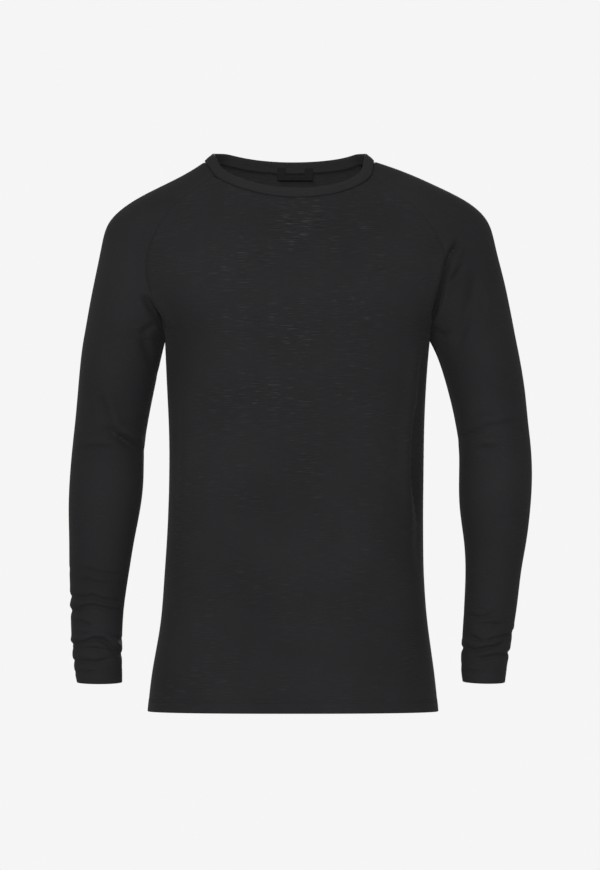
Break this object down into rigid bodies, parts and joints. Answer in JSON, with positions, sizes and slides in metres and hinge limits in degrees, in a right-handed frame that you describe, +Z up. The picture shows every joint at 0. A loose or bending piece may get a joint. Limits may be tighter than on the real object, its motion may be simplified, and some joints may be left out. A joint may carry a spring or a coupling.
{
  "type": "base layer top",
  "caption": "Long-sleeved raglan base layer top in fine dark knit, held in its hollow worn form, with a narrow crew neckband, hanger loop and turned hems.",
  "frame": {"origin": "on the garment's centre plane, midway between the shoulders, at the height where the sides of the neck opening rest on them", "axes": "+X to the wearer's left, +Y to the wearer's back, +Z up along the body"},
  "size_m": [0.5791, 0.2341, 0.7041],
  "materials": {
    "body_knit": "fine charcoal merino jersey, matt with a soft fuzz",
    "sleeve_knit": "fine charcoal merino jersey, matt with a soft fuzz",
    "neckband_knit": "the same jersey folded double as a narrow band",
    "loop_tape": "narrow dark woven tape"
  },
  "bodies": {
    "root": {"front": "body_knit", "back": "body_knit", "sleeve_left": "sleeve_knit", "sleeve_right": "sleeve_knit", "neckband": "neckband_knit", "hanger_loop": "loop_tape"}
  },
  "joints": []
}
